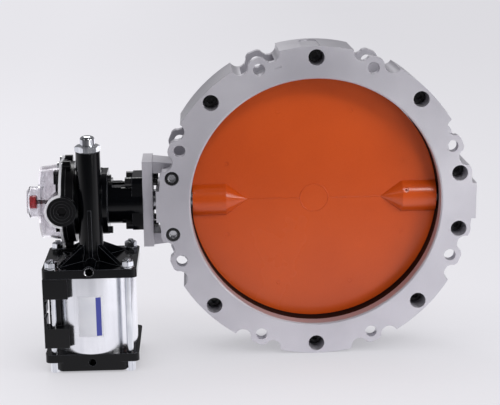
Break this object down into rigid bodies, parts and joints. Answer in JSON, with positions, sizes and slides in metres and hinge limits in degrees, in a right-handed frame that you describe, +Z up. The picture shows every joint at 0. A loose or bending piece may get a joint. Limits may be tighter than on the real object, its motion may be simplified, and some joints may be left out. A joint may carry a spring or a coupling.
{
  "type": "pneumatic butterfly valve",
  "caption": "Wafer butterfly valve for bulk solids: split cast body with eared bolt circle, orange disc, side-mounted rack-and-pinion air actuator and limit switch box with clear cover.",
  "frame": {"origin": "centre of the bore, on the shaft axis, half way between the two flange faces", "axes": "+X along the shaft from the actuator to the idle side, +Y along the pipe from front to rear, +Z up"},
  "size_m": [0.5392, 0.1393, 0.376],
  "materials": {
    "cast_aluminium": "bare die-cast aluminium, satin",
    "seat_rubber": "black moulded rubber, matt",
    "disc_coating": "orange-brown satin coating on a cast disc",
    "shaft_steel": "turned steel, bright",
    "bronze": "sintered bronze, plain",
    "black_paint": "black semi-gloss coating on cast metal",
    "black_screws": "black oxide steel, satin",
    "zinc": "bright zinc plate",
    "barrel_metal": "bright drawn tube, satin",
    "piston_metal": "machined aluminium",
    "seal_rubber": "black rubber, matt",
    "black_plastic": "black moulded plastic, fine grain",
    "clear_plastic": "clear moulded polycarbonate, gloss",
    "red_plastic": "red moulded plastic",
    "grey_plastic": "grey moulded plastic",
    "label_film": "blank white film with one blue stripe"
  },
  "bodies": {
    "valve_body": {"front_half_shell": "cast_aluminium", "rear_half_shell": "cast_aluminium", "seat_liner": "seat_rubber", "drive_shaft_bush": "bronze", "idle_shaft_bush": "bronze", "shaft_seals": "seal_rubber", "body_screws": "black_screws", "flush_body_screws": "black_screws", "neck_bracket": "black_paint", "neck_flange_screws": "black_screws", "neck_pad_screws": "black_screws", "actuator_head": "black_paint", "pinion_bushes": "bronze", "rack_pad": "bronze", "rod_seal": "seal_rubber", "rod_bush": "bronze", "barrel": "barrel_metal", "barrel_seals": "seal_rubber", "bottom_head": "black_paint", "tie_rods": "zinc", "tie_rod_washers": "zinc", "tie_rod_nuts": "zinc", "foot_nuts": "zinc", "stop_jam_nut": "zinc", "switch_box_base": "black_plastic", "cable_port_plug": "black_plastic", "switch_box_screws": "zinc", "switch_cover": "clear_plastic", "cover_gasket": "seal_rubber", "cover_screws": "zinc", "micro_switches": "black_plastic", "switch_bracket": "zinc", "terminal_block": "grey_plastic", "valve_bracket": "black_plastic", "barrel_label": "label_film"},
    "disc_train": {"disc": "disc_coating", "disc_grub_screws": "disc_coating", "drive_stub_shaft": "shaft_steel", "idle_stub_shaft": "shaft_steel", "shaft_coupling": "shaft_steel", "coupling_screw": "black_screws", "pinion_shaft": "shaft_steel", "pinion": "shaft_steel", "pinion_key": "shaft_steel", "indicator_spindle": "grey_plastic", "indicator_knob": "red_plastic", "switch_cams": "grey_plastic"},
    "rack_train": {"rack": "shaft_steel", "piston": "piston_metal", "piston_seals": "seal_rubber", "piston_wear_band": "bronze", "piston_nut": "zinc"},
    "stop": {"stop_screw": "zinc"}
  },
  "joints": [
    {"name": "disc_turn", "type": "hinge", "parent": "valve_body", "child": "disc_train", "pos_m": [0, 0, 0], "axis": [-1, 0, 0], "range_deg": [0, 90]},
    {"name": "rack_slide", "type": "slide", "parent": "valve_body", "child": "rack_train", "axis": [0, 0, 1], "range_m": [0, 0.04557]},
    {"name": "stop_adjust", "type": "slide", "parent": "valve_body", "child": "stop", "axis": [0, 0, 1], "range_m": [0, 0.008]}
  ],
  "couplings": [
    {"joint": "rack_slide", "follows": "disc_turn", "m_per_rad": 0.029}
  ]
}
